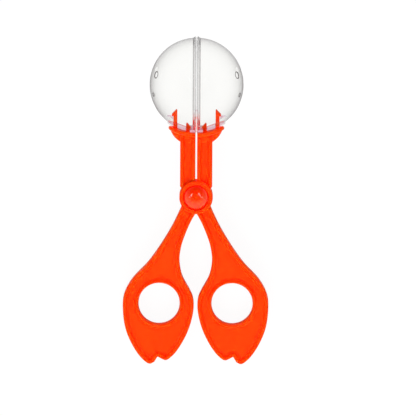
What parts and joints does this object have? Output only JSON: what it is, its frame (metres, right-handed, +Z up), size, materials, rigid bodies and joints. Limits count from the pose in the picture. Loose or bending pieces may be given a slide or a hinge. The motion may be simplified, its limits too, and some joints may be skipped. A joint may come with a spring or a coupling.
{
  "type": "insect catcher",
  "caption": "Hand-held scissor tongs of moulded plastic whose arms carry two clear, vented half balls that close round an insect.",
  "frame": {"origin": "on the table, under the middle of the tool's bounding box as it lies on its ball and claws", "axes": "+Z up, +Y along the tool towards the ball, +X towards the right shell"},
  "size_m": [0.0778, 0.175, 0.0518],
  "materials": {
    "orange_plastic": "smooth moulded, semi-gloss",
    "clear_plastic": "clear, polished"
  },
  "bodies": {
    "front": {"front_lever": "orange_plastic", "right_shell": "clear_plastic", "pivot_button": "orange_plastic", "pivot_cap": "orange_plastic"},
    "rear": {"rear_lever": "orange_plastic", "left_shell": "clear_plastic"}
  },
  "joints": [
    {"name": "pivot_hinge", "type": "hinge", "parent": "front", "child": "rear", "pos_m": [0, 0.00197, 0.01704], "axis": [0, -0.1469, 0.9892], "range_deg": [0, 60]}
  ]
}
